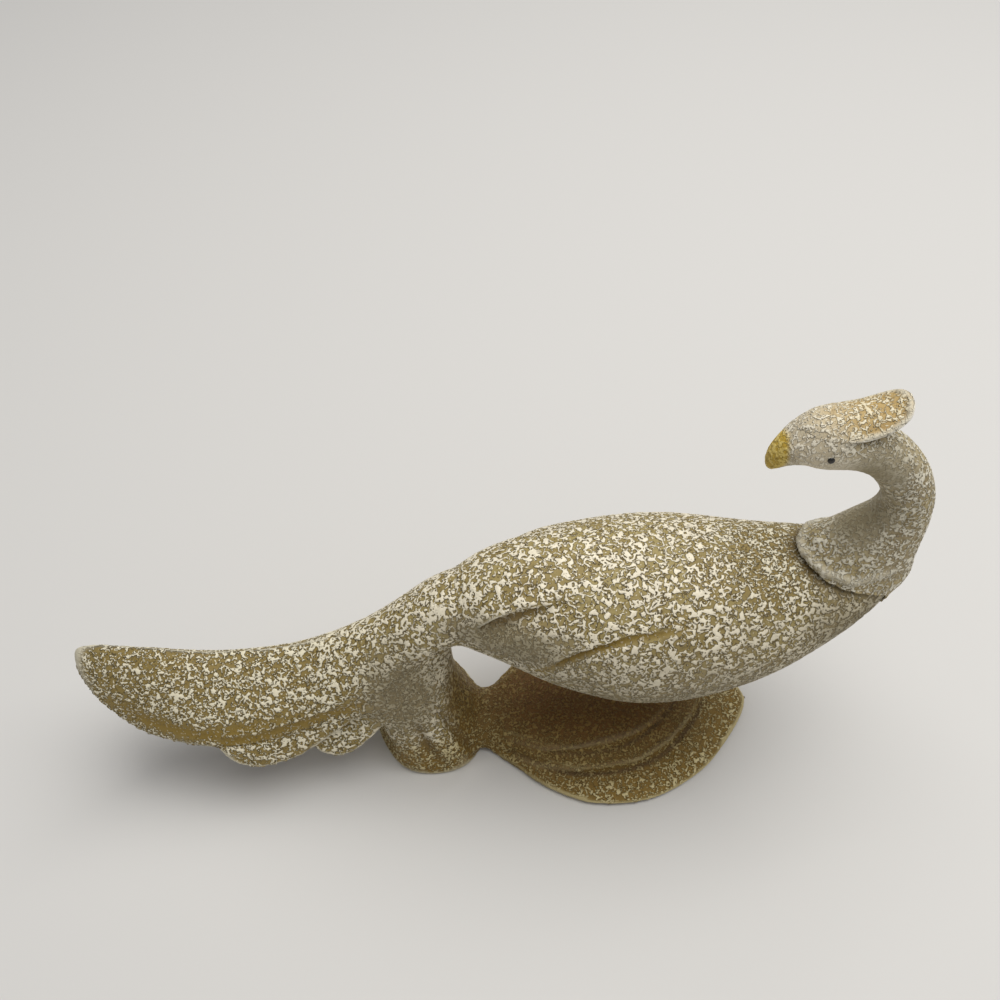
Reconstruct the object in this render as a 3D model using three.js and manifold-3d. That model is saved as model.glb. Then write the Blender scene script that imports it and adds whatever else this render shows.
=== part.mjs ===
// Ceramic peacock figurine, slip cast in sections that are luted together before firing.
// Units are millimetres and +Z is up. +X runs from the tail to the breast, the bird is modelled
// about the plane y = 0, and heights are measured from the surface that it stands on.

import * as THREE from 'three';
import { mergeVertices } from 'three/addons/utils/BufferGeometryUtils.js';
import Module from 'manifold-3d';

const wasm = await Module();
wasm.setup();

// Joints
const luteGap = 0.3;

// Body, an egg on a sagging centre line
const rumpX = -8;
const rumpHeight = 76;
const rumpRadius = 13.4;
const bodyLength = 152;
const bodyDiameter = 66.6;
const bodySag = 8.4;

// Wing creases, each a ledge over a hollow that runs out below it. The paths are shares of the
// body's length and degrees from its top.
const upperCreaseDepth = 1.7;
const upperCreaseWidth = 9;
const lowerCreaseDepth = 1.3;
const lowerCreaseWidth = 4.6;
const cutterHeight = 2;
const upperCreasePath = [[0.03, 76], [0.07, 59], [0.114, 48], [0.18, 39], [0.272, 33]];
const lowerCreasePath = [[0.178, 106], [0.204, 85], [0.235, 72], [0.3, 61], [0.4, 52], [0.488, 49]];

// Main tail feather
const tailLength = 133.5;
const tailNearReach = 23.3;
const tailFarReach = 12.6;
const tailDip = 19;
const tailLipHeight = 32;
const tailThickness = 9.5;
const lipThickness = 2.4;
const ridgeSoftness = 0.12;

// Lower tail feathers
const secondFeatherLength = 64;
const secondFeatherReach = 27;
const secondFeatherLipHeight = 22.8;
const secondFeatherSetback = 25;
const thirdFeatherLength = 36;
const thirdFeatherReach = 23;
const thirdFeatherLipHeight = 20.4;
const thirdFeatherSetback = 22;
const lowerFeatherFarReach = 14;
const lowerFeatherThickness = 7;

// Foot under the tail
const footLength = 42;
const footWidth = 47;
const columnLength = 30;
const columnWidth = 31;
const columnHeight = 66;
const footSetback = 16.5;
const lobeDepth = 1;
const lobeCount = 6;

// Base
const waistWidth = 27;
const waistSway = 2.5;
const swayLength = 30;
const leafRoot = 8;
const baseLength = 101;
const baseWidth = 81.6;
const rimHeight = 3;
const rimUndercut = 2;
const stepHeight = 2.8;
const leafRise = 1.6;
const middleLeafLength = 82.5;
const middleLeafWidth = 57;
const innerLeafLength = 72;
const innerLeafWidth = 44;
const leafEdgeRound = 1.2;
const leafEdgeDrop = 0.4;
const leafFootRound = 0.8;
const innerLeafCrown = 12.3;

// Neck and head, one sweep from the collar to the beak
const collarX = 123.4;
const collarHeight = 80.5;
const collarDepth = 42.5;
const collarWidth = 29.4;
const collarLipStand = 0.6;
const collarLipHeight = 1.6;
const throatDiameter = 18.4;
const neckRise = 68;
const headReach = 34;
const headDiameter = 19.8;
const beakWidth = 9.4;

// Crest
const crestLength = 32;
const crestWidth = 16.6;
const crestThickness = 3;

// Eyes
const eyeDiameter = 2.6;
const eyeStand = 0.5;
const eyePosition = 11.24;
const eyeAngle = 4;

// Facets along and around the pieces
const bodyFacets = [34, 28];
const creaseFacets = 12;
const mainFeatherFacets = [30, 28];
const secondFeatherFacets = [16, 22];
const thirdFeatherFacets = [14, 22];
const footFacets = [12, 42];
const leafSideFacets = 24;
const neckFacets = [22, 26];
const headFacets = [12, 24];
const beakFacets = [9, 18];
const crestFacets = [16, 20];
const eyeFacets = [4, 14];

// Glaze colours
const glazes = {
  speckled: { color: 0xbdb08a, roughness: 0.7, metalness: 0 },
  tail: { color: 0xb3a57c, roughness: 0.7, metalness: 0 },
  shaded: { color: 0xa39a7e, roughness: 0.72, metalness: 0 },
  base: { color: 0x6b5628, roughness: 0.68, metalness: 0 },
  crest: { color: 0xb89a6c, roughness: 0.7, metalness: 0 },
  beak: { color: 0xb08a28, roughness: 0.6, metalness: 0 },
  eye: { color: 0x14140f, roughness: 0.35, metalness: 0 },
};

// Smooth curve through the rows of a table, as a function of the row number
function through(rows) {
  const knots = rows.map((row, index) => index);
  const curve = new THREE.CubicInterpolant(knots, rows.flat(), rows[0].length);
  return (position) => Array.from(curve.evaluate(position));
}

// Closed body through rings of equal point counts, with a fan to the middle of each end ring
function skin(rings) {
  const count = rings[0].length;
  const points = rings.flat();
  const faces = [];
  for (let ring = 0; ring < rings.length - 1; ring += 1) {
    for (let side = 0; side < count; side += 1) {
      const a = ring * count + side;
      const b = ring * count + ((side + 1) % count);
      faces.push([a, b, b + count], [a, b + count, a + count]);
    }
  }
  const middle = (ring) => ring.reduce((sum, p) => sum.add(p), new THREE.Vector3()).divideScalar(count);
  const lastStart = (rings.length - 1) * count;
  const startTip = points.push(middle(rings[0])) - 1;
  const endTip = points.push(middle(rings[rings.length - 1])) - 1;
  for (let side = 0; side < count; side += 1) {
    const next = (side + 1) % count;
    faces.push([startTip, next, side], [endTip, lastStart + side, lastStart + next]);
  }
  return outward(meshOf(points, faces));
}

function meshOf(points, faces) {
  const geometry = new THREE.BufferGeometry();
  geometry.setAttribute('position', new THREE.Float32BufferAttribute(points.flatMap((p) => p.toArray()), 3));
  geometry.setIndex(faces.flat());
  return welded(geometry);
}

// Shared vertices merged, and the faces that this closes up left out
function welded(geometry) {
  geometry.deleteAttribute('normal');
  geometry.deleteAttribute('uv');
  const merged = mergeVertices(geometry, 1e-4);
  const index = Array.from(merged.getIndex().array);
  const kept = [];
  for (let i = 0; i < index.length; i += 3) {
    const [a, b, c] = index.slice(i, i + 3);
    if (a !== b && b !== c && c !== a) {
      kept.push(a, b, c);
    }
  }
  merged.setIndex(kept);
  return merged;
}

// Six times the enclosed volume is the sum of the triple products of the faces
function signedVolume(geometry) {
  const position = geometry.getAttribute('position');
  const index = geometry.getIndex().array;
  const [a, b, c] = [new THREE.Vector3(), new THREE.Vector3(), new THREE.Vector3()];
  let volume = 0;
  for (let i = 0; i < index.length; i += 3) {
    a.fromBufferAttribute(position, index[i]);
    b.fromBufferAttribute(position, index[i + 1]);
    c.fromBufferAttribute(position, index[i + 2]);
    volume += a.dot(b.cross(c));
  }
  return volume;
}

function outward(geometry) {
  if (signedVolume(geometry) < 0) {
    const index = geometry.getIndex().array;
    for (let i = 0; i < index.length; i += 3) {
      [index[i + 1], index[i + 2]] = [index[i + 2], index[i + 1]];
    }
  }
  return geometry;
}

// The same body with its skin moved outwards
function swollen(geometry, distance) {
  const copy = geometry.clone();
  copy.computeVertexNormals();
  const position = copy.getAttribute('position');
  const normal = copy.getAttribute('normal');
  for (let i = 0; i < position.count; i += 1) {
    position.setXYZ(
      i,
      position.getX(i) + normal.getX(i) * distance,
      position.getY(i) + normal.getY(i) * distance,
      position.getZ(i) + normal.getZ(i) * distance,
    );
  }
  copy.deleteAttribute('normal');
  return copy;
}

function solidOf(geometry) {
  return new wasm.Manifold(new wasm.Mesh({
    numProp: 3,
    vertProperties: new Float32Array(geometry.getAttribute('position').array),
    triVerts: new Uint32Array(geometry.getIndex().array),
  }));
}

function geometryOf(solid) {
  const mesh = solid.getMesh();
  const geometry = new THREE.BufferGeometry();
  geometry.setAttribute('position', new THREE.BufferAttribute(new Float32Array(mesh.vertProperties), 3));
  geometry.setIndex(new THREE.BufferAttribute(new Uint32Array(mesh.triVerts), 1));
  return geometry;
}

// A section trimmed back from the sections that it is luted to
function seatedOn(geometry, ...neighbours) {
  let solid = solidOf(geometry);
  for (const neighbour of neighbours) {
    solid = solid.subtract(solidOf(swollen(neighbour, luteGap)));
  }
  return geometryOf(solid);
}

function carved(geometry, ...tools) {
  let solid = solidOf(geometry);
  for (const tool of tools) {
    solid = solid.subtract(solidOf(tool));
  }
  return geometryOf(solid);
}

// A section with a raised lip all round the foot that it stands on its neighbour with
function lipped(geometry, neighbour) {
  const wider = solidOf(swollen(geometry, collarLipStand));
  const layer = solidOf(swollen(neighbour, luteGap + collarLipHeight));
  return geometryOf(solidOf(geometry).add(wider.intersect(layer)));
}

function mirrored(geometry) {
  const copy = geometry.clone();
  copy.scale(1, -1, 1);
  return outward(copy);
}

// Body: round sections in upright planes. Columns are the share of the length, the radius as a
// share of the half diameter and the centre's drop as a share of the sag.
const bodyTable = [
  [0, rumpRadius / (bodyDiameter / 2), 0],
  [0.05, 0.52, -0.11],
  [0.115, 0.65, 0],
  [0.185, 0.785, 0.28],
  [0.25, 0.875, 0.52],
  [0.33, 0.955, 0.8],
  [0.41, 0.998, 0.95],
  [0.5, 0.985, 1],
  [0.58, 0.93, 1],
  [0.66, 0.85, 0.93],
  [0.735, 0.755, 0.65],
  [0.8, 0.65, 0.26],
  [0.86, 0.545, -0.16],
  [0.91, 0.43, -0.52],
  [0.95, 0.31, -0.9],
  [0.98, 0.2, -1.15],
  [1, 0.08, -1.3],
];
const bodyAt = through(bodyTable);

function bodySection(position) {
  const [along, radius, drop] = bodyAt(position);
  return {
    x: rumpX + along * bodyLength,
    z: rumpHeight - drop * bodySag,
    radius: radius * bodyDiameter / 2,
  };
}

function roundRing(x, z, radius, count) {
  const ring = [];
  for (let i = 0; i < count; i += 1) {
    const angle = 2 * Math.PI * i / count;
    ring.push(new THREE.Vector3(x, radius * Math.sin(angle), z + radius * Math.cos(angle)));
  }
  return ring;
}

function bodyBlank() {
  const rings = [];
  const [steps, sides] = bodyFacets;
  for (let i = 0; i <= steps; i += 1) {
    const section = bodySection((bodyTable.length - 1) * i / steps);
    rings.push(roundRing(section.x, section.z, section.radius, sides));
  }
  return skin(rings);
}

// A point over the body's skin, from the share of its length, the angle from the top, the way
// further down across the skin and the height over it
function onBody(along, angle, across, lift) {
  let position = 0;
  while (position < bodyTable.length - 1 && bodyAt(position)[0] < along) {
    position += 0.02;
  }
  const section = bodySection(position);
  const reach = section.radius + lift;
  const turn = angle + across / section.radius;
  return new THREE.Vector3(section.x, -reach * Math.sin(turn), section.z + reach * Math.cos(turn));
}

// Crease: a cutter along a path on the skin, steep on its upper side and sloping out on the lower
function creaseCutter(path, depth, width) {
  const curve = new THREE.CatmullRomCurve3(path.map(([along, degrees]) => (
    new THREE.Vector3(along, THREE.MathUtils.degToRad(degrees), 0)
  )));
  const rings = [];
  for (let i = 0; i <= creaseFacets; i += 1) {
    const share = i / creaseFacets;
    const taper = Math.sin(Math.PI * (0.02 + 0.96 * share ** 0.7));
    const { x: along, y: angle } = curve.getPoint(share);
    const [deep, wide] = [depth * taper, width * taper];
    const profile = [
      [-0.08 * wide, cutterHeight],
      [-0.06 * wide, -0.4 * deep],
      [0.04 * wide, -deep],
      [0.35 * wide, -0.75 * deep],
      [0.7 * wide, -0.35 * deep],
      [wide, 0],
      [wide, cutterHeight],
    ];
    rings.push(profile.map(([across, lift]) => onBody(along, angle, across, lift)));
  }
  return skin(rings);
}

// Ring square to a tangent that lies near the plane y = 0, by its half depth in that plane and
// its half width across it
function ringAcross(centre, tangent, halfDepth, halfWidth, count) {
  const across = new THREE.Vector3(0, 1, 0);
  const depth = new THREE.Vector3().crossVectors(tangent, across).normalize();
  const width = new THREE.Vector3().crossVectors(depth, tangent).normalize();
  const ring = [];
  for (let i = 0; i < count; i += 1) {
    const angle = 2 * Math.PI * i / count;
    ring.push(centre.clone()
      .addScaledVector(depth, halfDepth * Math.cos(angle))
      .addScaledVector(width, halfWidth * Math.sin(angle)));
  }
  return ring;
}

// Distance from the ridge with the ridge itself rounded off
function softened(side) {
  return Math.hypot(side, ridgeSoftness) - ridgeSoftness;
}

// Feather section: an arched roof from lip to lip with a hollow underside. It reaches further on
// the side that the train is swept to.
function featherRing(section, count) {
  const { x, crown, nearReach, farReach, lip, thickness, lipDepth, tent } = section;
  const half = count / 2;
  const across = (angle) => (angle < 0 ? nearReach : farReach) * Math.sin(angle);
  const roof = (angle) => {
    const side = Math.abs(Math.sin(angle));
    const ridge = softened(side) / softened(1);
    return lip + (crown - lip) * (tent * (1 - ridge) + (1 - tent) * Math.cos(angle));
  };
  const ring = [];
  for (let i = 0; i <= half; i += 1) {
    const angle = Math.PI * (i / half - 0.5);
    ring.push(new THREE.Vector3(x, across(angle), roof(angle)));
  }
  for (let i = half - 1; i > 0; i -= 1) {
    const angle = Math.PI * (i / half - 0.5);
    const depth = lipDepth + (thickness - lipDepth) * Math.cos(angle);
    ring.push(new THREE.Vector3(x, across(angle), roof(angle) - depth));
  }
  return ring;
}

// Feather tables. Columns are the share of the length, the crown's height above the rump as a
// share of the tail's dip, the near and the far reach as shares of the feather's, the lip's
// depth below the rump as a share of its lowest, the thickness as a share of the feather's, the
// lip's depth as a share of the lip thickness and how much the roof is a tent.
const rumpCrown = rumpRadius / tailDip;
const rumpNear = rumpRadius / tailNearReach;
const rumpFar = rumpRadius / tailFarReach;
const rumpThickness = 2 * rumpRadius / tailThickness;
const mainFeatherTable = [
  [0, rumpCrown, rumpNear, rumpFar, 0, rumpThickness, 0, 0],
  [0.06, 0.5, 0.59, 1.08, 0.12, 2.55, 0.1, 0],
  [0.13, 0.15, 0.66, 1.06, 0.31, 2.25, 0.4, 0.12],
  [0.22, -0.28, 0.74, 1.02, 0.54, 1.75, 0.7, 0.3],
  [0.32, -0.61, 0.83, 1, 0.74, 1.4, 1, 0.45],
  [0.42, -0.85, 0.9, 1, 0.88, 1.15, 1, 0.55],
  [0.52, -0.93, 0.96, 1, 0.96, 1, 1, 0.6],
  [0.62, -0.93, 1, 1, 1, 1, 1, 0.62],
  [0.71, -0.82, 0.93, 0.98, 1, 0.95, 1, 0.62],
  [0.79, -0.65, 0.81, 0.9, 0.99, 0.9, 1, 0.6],
  [0.86, -0.54, 0.68, 0.78, 0.94, 0.85, 0.9, 0.55],
  [0.92, -0.43, 0.53, 0.62, 0.78, 0.75, 0.8, 0.5],
  [0.965, -0.44, 0.38, 0.44, 0.6, 0.62, 0.7, 0.4],
  [0.99, -0.53, 0.22, 0.28, 0.45, 0.45, 0.5, 0.3],
  [1, -0.7, 0.08, 0.1, 0.37, 0.2, 0.2, 0.3],
];
const secondFeatherTable = [
  [-0.12, -1.05, 0.52, 0.5, 0.4, 1, 1, 0.5],
  [0, -1.1, 0.6, 0.62, 0.5, 1, 1, 0.5],
  [0.14, -1.18, 0.7, 0.7, 0.62, 1, 1, 0.5],
  [0.3, -1.3, 0.78, 0.8, 0.78, 1, 1, 0.5],
  [0.46, -1.42, 0.86, 0.9, 0.92, 1, 1, 0.5],
  [0.6, -1.5, 0.93, 0.98, 0.98, 1, 1, 0.5],
  [0.74, -1.5, 0.99, 1, 1, 1, 1, 0.5],
  [0.86, -1.5, 0.985, 0.98, 0.98, 1, 1, 0.5],
  [0.94, -1.5, 0.93, 0.92, 0.93, 1, 0.8, 0.5],
  [1, -1.5, 0.82, 0.8, 0.84, 0.9, 0.5, 0.5],
];
const thirdFeatherTable = [
  [-0.22, -1.2, 0.62, 0.5, 0.5, 1, 1, 0.5],
  [0, -1.3, 0.74, 0.66, 0.62, 1, 1, 0.5],
  [0.2, -1.4, 0.85, 0.74, 0.78, 1, 1, 0.5],
  [0.42, -1.5, 0.94, 0.84, 0.93, 1, 1, 0.5],
  [0.62, -1.6, 1, 0.92, 1, 1, 1, 0.5],
  [0.8, -1.7, 0.99, 0.92, 0.99, 1, 1, 0.5],
  [0.92, -1.75, 0.93, 0.85, 0.94, 1, 0.8, 0.5],
  [1, -1.75, 0.82, 0.75, 0.87, 0.9, 0.5, 0.5],
];

function featherBlade(table, size, [steps, sides]) {
  const at = through(table);
  const rings = [];
  for (let i = 0; i <= steps; i += 1) {
    const [along, crown, near, far, drop, thickness, lipDepth, tent] = at((table.length - 1) * i / steps);
    rings.push(featherRing({
      x: size.startX - along * size.length,
      crown: rumpHeight + crown * tailDip,
      nearReach: near * size.nearReach,
      farReach: far * size.farReach,
      lip: rumpHeight - drop * (rumpHeight - size.lipHeight),
      thickness: thickness * size.thickness,
      lipDepth: Math.max(lipDepth, 0) * lipThickness,
      tent,
    }, sides));
  }
  return skin(rings);
}

// Foot: level sections from the table up into the tail. Columns are the share of the column's
// height, the left and right ends as shares of the column's length from its middle, the half
// width as a share of the column's, and how much the lobes show.
const footMiddleX = rumpX - footSetback;
const footSpread = footWidth / columnWidth;
const footReach = footLength / columnLength;
const footTable = [
  [0, -0.41 * footReach, 0.84, footSpread * 0.97, 0.2],
  [0.03, -0.43 * footReach, 0.85, footSpread, 0.4],
  [0.1, -0.42 * footReach, 0.82, footSpread * 0.985, 0.9],
  [0.2, -0.57, 0.7, footSpread * 0.95, 1],
  [0.35, -0.62, 0.56, footSpread * 0.9, 0.8],
  [0.5, -0.72, 0.47, footSpread * 0.83, 0.4],
  [0.7, -0.72, 0.44, footSpread * 0.68, 0],
  [0.85, -0.5, 0.46, 0.85, 0],
  [1, -0.4, 0.46, 0.6, 0],
];

function footRing(share, left, right, halfWidth, lobe, count) {
  const ring = [];
  const middle = footMiddleX + (left + right) / 2 * columnLength;
  const reach = (right - left) / 2 * columnLength;
  for (let i = 0; i < count; i += 1) {
    const angle = 2 * Math.PI * i / count;
    const ripple = 1 + Math.max(lobe, 0) * lobeDepth / reach * Math.cos(lobeCount * angle);
    ring.push(new THREE.Vector3(
      middle + reach * ripple * Math.cos(angle),
      halfWidth * columnWidth / 2 * ripple * Math.sin(angle),
      share * columnHeight,
    ));
  }
  return ring;
}

function footBlank() {
  const at = through(footTable);
  const rings = [];
  const [steps, sides] = footFacets;
  for (let i = 0; i <= steps; i += 1) {
    rings.push(footRing(...at((footTable.length - 1) * i / steps), sides));
  }
  return skin(rings);
}

// Base: leaf outlines from the waist, stacked as terraces. The upper two root in the foot. Columns
// are the share of the leaf's length and of its half width.
const rimOutline = [
  [0, waistWidth / baseWidth],
  [0.035, 0.41],
  [0.105, 0.57],
  [0.175, 0.745],
  [0.32, 0.95],
  [0.46, 1],
  [0.61, 0.955],
  [0.775, 0.74],
  [0.86, 0.54],
  [0.94, 0.3],
  [0.985, 0.12],
  [1, 0],
];
const leafOutline = [
  [0, 0.36],
  [0.09, 0.42],
  [0.18, 0.56],
  [0.28, 0.77],
  [0.42, 0.965],
  [0.54, 1],
  [0.68, 0.94],
  [0.8, 0.77],
  [0.89, 0.52],
  [0.963, 0.25],
  [1, 0],
];

// The waist lies a little to the side that the train is swept to
function sway(x) {
  return -waistSway * Math.max(0, 1 - x / swayLength) ** 2;
}

function leafRing(outline, root, length, width, height, inset) {
  const at = through(outline);
  const ring = [];
  const side = [];
  for (let i = 0; i <= leafSideFacets; i += 1) {
    const [along, share] = at((outline.length - 1) * i / leafSideFacets);
    side.push([along * (root + length - inset) - root, share * (width / 2 - inset)]);
  }
  side[leafSideFacets][1] = 0;
  for (const [x, halfWidth] of side) {
    ring.push(new THREE.Vector3(luteGap / 2 + x, sway(x) - halfWidth, height));
  }
  for (const [x, halfWidth] of side.slice(0, -1).reverse()) {
    ring.push(new THREE.Vector3(luteGap / 2 + x, sway(x) + halfWidth, height));
  }
  return ring;
}

function baseBlank() {
  const middle = (height, inset) => (
    leafRing(leafOutline, leafRoot, middleLeafLength, middleLeafWidth, height, inset)
  );
  const inner = (height, inset) => (
    leafRing(leafOutline, leafRoot, innerLeafLength, innerLeafWidth, height, inset)
  );
  const middleFoot = rimHeight + leafRise;
  const innerFoot = middleFoot + stepHeight + leafRise;
  return skin([
    leafRing(rimOutline, 0, baseLength, baseWidth, 0, rimUndercut),
    leafRing(rimOutline, 0, baseLength, baseWidth, rimHeight * 0.6, 0),
    leafRing(rimOutline, 0, baseLength, baseWidth, rimHeight, leafFootRound),
    middle(middleFoot, -leafFootRound),
    middle(middleFoot + stepHeight, 0),
    middle(middleFoot + stepHeight + leafEdgeDrop, leafEdgeRound),
    inner(innerFoot, -leafFootRound),
    inner(innerFoot + stepHeight, 0),
    inner(innerFoot + stepHeight + leafEdgeDrop, leafEdgeRound),
    inner(innerFoot + stepHeight + leafRise, innerLeafCrown),
  ]);
}

// Neck, head and beak share one sweep. Columns are the centre's distance in front of the collar
// as a share of the head's reach, its height above the collar as a share of the neck's rise, and
// the half depth and half width in millimetres from the named sizes.
const throat = throatDiameter / 2;
const skull = headDiameter / 2;
const bill = beakWidth / 2;
const sweepTable = [
  [-0.24, -0.18, collarDepth * 0.25, collarWidth * 0.46],
  [-0.103, 0.012, collarDepth * 0.44, collarWidth / 2],
  [0.097, 0.14, collarDepth * 0.455, collarWidth * 0.465],
  [0.235, 0.27, collarDepth * 0.355, collarWidth * 0.405],
  [0.347, 0.4, collarDepth * 0.255, collarWidth * 0.325],
  [0.38, 0.515, throat * 0.97, throat * 0.96],
  [0.355, 0.61, throat * 0.9, throat * 0.94],
  [0.245, 0.735, throat * 0.89, throat * 0.93],
  [0.07, 0.845, throat * 0.88, throat * 0.92],
  [-0.1, 0.912, skull * 0.84, skull * 0.9],
  [-0.3, 0.965, skull * 0.93, skull * 0.97],
  [-0.53, 0.985, skull * 0.97, skull * 0.98],
  [-0.71, 0.973, skull * 0.85, skull * 0.85],
  [-0.83, 0.94, skull * 0.62, skull * 0.62],
  [-0.915, 0.903, bill * 0.97, bill * 0.95],
  [-0.966, 0.862, bill * 0.67, bill * 0.65],
  [-0.992, 0.827, bill * 0.3, bill * 0.3],
];
const napeRow = 9;
const crownRow = 11;
const beakRow = 13;
const sweepAt = through(sweepTable);

function sweepCentre(position) {
  const [reach, rise] = sweepAt(position);
  return new THREE.Vector3(collarX + reach * headReach, 0, collarHeight + rise * neckRise);
}

function sweepRing(position, count) {
  const last = sweepTable.length - 1;
  const nudge = 0.01;
  const ahead = sweepCentre(Math.min(position + nudge, last));
  const behind = sweepCentre(Math.max(position - nudge, 0));
  const [, , halfDepth, halfWidth] = sweepAt(position);
  const tangent = ahead.sub(behind).normalize();
  return ringAcross(sweepCentre(position), tangent, halfDepth, halfWidth, count);
}

function sweepLength(from, to) {
  return sweepCentre(from).distanceTo(sweepCentre(to));
}

function sweepSection(from, to, [steps, sides]) {
  const rings = [];
  for (let i = 0; i <= steps; i += 1) {
    rings.push(sweepRing(from + (to - from) * i / steps, sides));
  }
  return skin(rings);
}

const napeGap = luteGap / sweepLength(napeRow, napeRow + 1);
const beakGap = luteGap / sweepLength(beakRow, beakRow + 1);

// Crest: a leaf laid over the crown that stands out behind the nape. Columns are the share of the
// length from the forehead, the height above the head's centre as a share of its diameter, the
// half width as a share of the crest's, the half thickness as a share of the crest's and how far
// the edges hang as a share of the head's diameter.
const crestTable = [
  [0, 0.3, 0.2, 0.5, 0.02],
  [0.07, 0.38, 0.5, 0.9, 0.06],
  [0.2, 0.455, 0.84, 1, 0.12],
  [0.4, 0.48, 1, 1, 0.18],
  [0.6, 0.49, 1, 1, 0.175],
  [0.78, 0.54, 0.95, 0.95, 0.1],
  [0.9, 0.61, 0.82, 0.85, 0.05],
  [0.97, 0.68, 0.58, 0.7, 0.02],
  [1, 0.72, 0.3, 0.4, 0.01],
];

function crestBlank() {
  const at = through(crestTable);
  const centre = sweepCentre(crownRow);
  const startX = sweepCentre(beakRow).x;
  const rings = [];
  const direction = new THREE.Vector3(1, 0, 0);
  const [steps, sides] = crestFacets;
  for (let i = 0; i <= steps; i += 1) {
    const [along, lift, width, thickness, hang] = at((crestTable.length - 1) * i / steps);
    const middle = new THREE.Vector3(startX + along * crestLength, 0, centre.z + lift * headDiameter);
    const halfDepth = thickness * crestThickness / 2;
    const halfWidth = width * crestWidth / 2;
    const ring = ringAcross(middle, direction, halfDepth, halfWidth, sides);
    ring.forEach((point) => {
      point.z -= hang * headDiameter * (point.y / halfWidth) ** 2;
    });
    rings.push(ring);
  }
  return skin(rings);
}

// Eye: a low dome of slip on the side of the head
function eyeBlank() {
  const centre = sweepCentre(eyePosition);
  const [, , , halfWidth] = sweepAt(eyePosition);
  const radius = eyeDiameter / 2;
  const profile = [];
  const [steps, sides] = eyeFacets;
  for (let i = 0; i <= steps; i += 1) {
    const angle = Math.PI / 2 * i / steps;
    profile.push(new THREE.Vector2(radius * Math.cos(angle), eyeStand * Math.sin(angle)));
  }
  profile.unshift(new THREE.Vector2(0, -eyeStand * 2), new THREE.Vector2(radius, -eyeStand * 2));
  profile[profile.length - 1].x = 0;
  const dome = new THREE.LatheGeometry(profile, sides);
  dome.rotateX(Math.PI);
  dome.translate(0, -halfWidth - luteGap, 0);
  dome.rotateX(-THREE.MathUtils.degToRad(eyeAngle));
  dome.translate(centre.x, 0, centre.z);
  return outward(welded(dome));
}

// Assembly
const bodyRaw = bodyBlank();
const mainFeather = featherBlade(mainFeatherTable, {
  startX: rumpX - luteGap,
  length: tailLength,
  nearReach: tailNearReach,
  farReach: tailFarReach,
  lipHeight: tailLipHeight,
  thickness: tailThickness,
}, mainFeatherFacets);
const secondRaw = featherBlade(secondFeatherTable, {
  startX: rumpX - secondFeatherSetback,
  length: secondFeatherLength,
  nearReach: secondFeatherReach,
  farReach: lowerFeatherFarReach,
  lipHeight: secondFeatherLipHeight,
  thickness: lowerFeatherThickness,
}, secondFeatherFacets);
const thirdRaw = featherBlade(thirdFeatherTable, {
  startX: rumpX - thirdFeatherSetback,
  length: thirdFeatherLength,
  nearReach: thirdFeatherReach,
  farReach: lowerFeatherFarReach,
  lipHeight: thirdFeatherLipHeight,
  thickness: lowerFeatherThickness,
}, thirdFeatherFacets);
const footRaw = footBlank();
const foot = seatedOn(footRaw, mainFeather, bodyRaw);
const secondFeather = seatedOn(secondRaw, mainFeather, footRaw);
const thirdFeather = seatedOn(thirdRaw, mainFeather, secondRaw, footRaw);
const base = seatedOn(baseBlank(), footRaw);
const head = sweepSection(napeRow + napeGap / 2, beakRow - beakGap / 2, headFacets);
const beak = sweepSection(beakRow + beakGap / 2, sweepTable.length - 1, beakFacets);
const neckRaw = sweepSection(0, napeRow - napeGap / 2, neckFacets);
const neck = seatedOn(lipped(neckRaw, bodyRaw), bodyRaw);
const crest = seatedOn(crestBlank(), head, neckRaw);
const eye = seatedOn(eyeBlank(), head);

const upperCrease = creaseCutter(upperCreasePath, upperCreaseDepth, upperCreaseWidth);
const lowerCrease = creaseCutter(lowerCreasePath, lowerCreaseDepth, lowerCreaseWidth);
const body = carved(bodyRaw, upperCrease, mirrored(upperCrease), lowerCrease, mirrored(lowerCrease));

const pieces = [
  ['body_shell', body, 'speckled'],
  ['main_tail_feather', mainFeather, 'tail'],
  ['second_tail_feather', secondFeather, 'tail'],
  ['third_tail_feather', thirdFeather, 'shaded'],
  ['tail_foot', foot, 'shaded'],
  ['base_shell', base, 'base'],
  ['neck_and_collar', neck, 'shaded'],
  ['head', head, 'speckled'],
  ['crest', crest, 'crest'],
  ['beak', beak, 'beak'],
  ['left_eye', eye, 'eye'],
  ['right_eye', mirrored(eye), 'eye'],
];

// The origin lies on the table below the middle of the whole figurine
const extent = new THREE.Box3();
for (const [, geometry] of pieces) {
  geometry.computeBoundingBox();
  extent.union(geometry.boundingBox);
}
const middle = extent.getCenter(new THREE.Vector3());

const figurine = new THREE.Group();
for (const [name, geometry, glaze] of pieces) {
  const piece = new THREE.Mesh(geometry, new THREE.MeshStandardMaterial(glazes[glaze]));
  piece.geometry.translate(-middle.x, -middle.y, -extent.min.z);
  piece.name = name;
  figurine.add(piece);
}

export default figurine;
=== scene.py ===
from math import radians

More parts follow.
